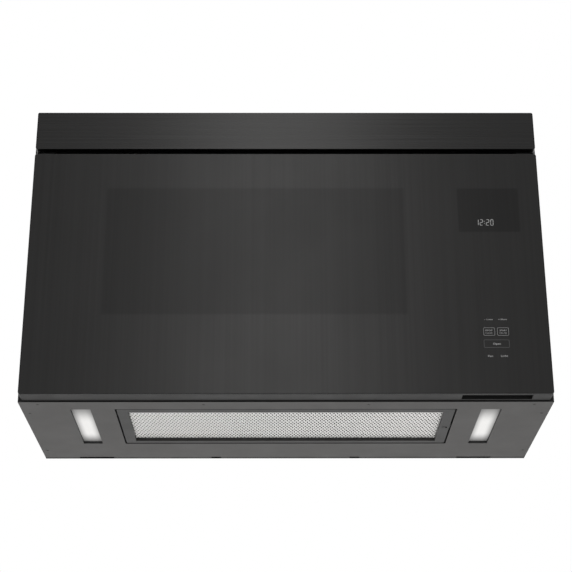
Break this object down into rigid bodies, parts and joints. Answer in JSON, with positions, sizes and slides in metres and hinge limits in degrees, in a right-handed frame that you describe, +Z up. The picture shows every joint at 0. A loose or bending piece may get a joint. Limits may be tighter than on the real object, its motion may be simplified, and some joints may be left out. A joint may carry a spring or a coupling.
{
  "type": "over the range microwave",
  "caption": "Flush over the range microwave hood: side-hinged glass door with touch keys, vent slot, task lights and a drop-down grease filter in the base.",
  "frame": {"origin": "centre of the wall plate's back face, which lies flat on the wall", "axes": "+X to the right seen from the front, +Y back into the wall, +Z up"},
  "size_m": [0.759, 0.31, 0.4793],
  "materials": {
    "cabinet_paint": "dark grey satin paint",
    "base_paint": "matte grey paint",
    "trim_steel": "dark brushed steel, horizontal grain",
    "door_glass": "dark back-painted glass",
    "door_moulding": "dark grey satin",
    "black_plastic": "matte black",
    "white_plastic": "matte white",
    "zinc_steel": "zinc-coated sheet",
    "cavity_paint": "grey enamel",
    "ceramic": "smooth cream glass ceramic",
    "filter_aluminium": "satin grey",
    "bare_aluminium": "bright mill finish",
    "lens": "frosted, lit from behind",
    "circuit_board": "green solder mask",
    "copper": "enamelled copper wire",
    "charcoal": "black carbon pad"
  },
  "bodies": {
    "cabinet": {"base_pan": "base_paint", "outer_wrap": "cabinet_paint", "top_rail": "zinc_steel", "cord_bushing": "black_plastic", "rear_panel": "zinc_steel", "wall_plate": "zinc_steel", "front_frame": "cavity_paint", "vent_grille": "black_plastic", "charcoal_filter": "charcoal", "top_trim": "trim_steel", "cavity_liner": "cavity_paint", "cavity_floor": "ceramic", "cavity_lamp": "white_plastic", "waveguide": "zinc_steel", "stirrer_motor": "zinc_steel", "magnetron": "zinc_steel", "fan_shroud": "black_plastic", "fan_motor": "zinc_steel", "inverter_tray": "white_plastic", "inverter_board": "circuit_board", "inverter_heatsink": "bare_aluminium", "inverter_transformer": "copper", "power_board": "circuit_board", "air_deck": "zinc_steel", "blower_scroll_left": "zinc_steel", "blower_scroll_right": "zinc_steel", "blower_motor": "zinc_steel", "exhaust_adapter": "zinc_steel", "light_lens_left": "lens", "light_lens_right": "lens", "light_module_left": "white_plastic", "light_module_right": "white_plastic", "hinge_plate_lower": "zinc_steel", "hinge_plate_upper": "zinc_steel", "latch_board": "white_plastic", "interlock_switch_upper": "black_plastic", "interlock_switch_lower": "black_plastic", "monitor_switch": "black_plastic", "release_solenoid": "copper"},
    "door": {"door_glass": "door_glass", "door_frame": "door_moulding", "door_choke": "cavity_paint", "choke_cover": "black_plastic", "door_window": "door_glass", "display_module": "black_plastic", "touch_board": "circuit_board", "latch_spring": "zinc_steel"},
    "latch": {"latch_hooks": "white_plastic"},
    "upper_button": {"interlock_button_upper": "white_plastic"},
    "lower_button": {"interlock_button_lower": "white_plastic"},
    "release": {"release_plunger": "zinc_steel"},
    "grease_filter": {"grease_filter_frame": "filter_aluminium", "grease_filter_mesh": "bare_aluminium"},
    "catch": {"filter_catch": "zinc_steel"},
    "blower": {"blower_wheel_left": "zinc_steel", "blower_wheel_right": "zinc_steel", "blower_shaft": "zinc_steel"},
    "cooling_fan": {"cooling_fan": "white_plastic"},
    "stirrer": {"stirrer": "bare_aluminium"},
    "damper": {"damper_flap": "zinc_steel"}
  },
  "joints": [
    {"name": "door_hinge", "type": "hinge", "parent": "cabinet", "child": "door", "pos_m": [-0.37, -0.296, -0.0325], "axis": [0, 0, -1], "range_deg": [0, 100]},
    {"name": "hook_slide", "type": "slide", "parent": "door", "child": "latch", "axis": [0, 0, 1], "range_m": [-0.0036, 0.002], "stiffness_N_per_m": 800, "deforming": ["latch_spring"]},
    {"name": "upper_button_press", "type": "slide", "parent": "cabinet", "child": "upper_button", "axis": [0, 1, 0], "range_m": [0, 0.0015], "stiffness_N_per_m": 300},
    {"name": "lower_button_press", "type": "slide", "parent": "cabinet", "child": "lower_button", "axis": [0, 1, 0], "range_m": [0, 0.0015], "stiffness_N_per_m": 300},
    {"name": "release_lift", "type": "slide", "parent": "cabinet", "child": "release", "axis": [0, 0, 1], "range_m": [0, 0.0035], "stiffness_N_per_m": 200},
    {"name": "filter_drop", "type": "hinge", "parent": "cabinet", "child": "grease_filter", "pos_m": [-0.2436, -0.164, -0.2236], "axis": [0, 1, 0], "range_deg": [0, 60]},
    {"name": "catch_slide", "type": "slide", "parent": "grease_filter", "child": "catch", "axis": [1, 0, 0], "range_m": [0, 0.0025]},
    {"name": "blower_spin", "type": "hinge", "parent": "cabinet", "child": "blower", "pos_m": [0, -0.112, 0.174], "axis": [1, 0, 0], "continuous": true},
    {"name": "fan_spin", "type": "hinge", "parent": "cabinet", "child": "cooling_fan", "pos_m": [0.3, -0.048, -0.072], "axis": [0, 1, 0], "continuous": true},
    {"name": "stirrer_spin", "type": "hinge", "parent": "cabinet", "child": "stirrer", "pos_m": [-0.045, -0.155, -0.13], "axis": [0, 0, 1], "continuous": true},
    {"name": "damper_swing", "type": "hinge", "parent": "cabinet", "child": "damper", "pos_m": [0, -0.11705, 0.2395], "axis": [1, 0, 0], "range_deg": [0, 80]}
  ]
}
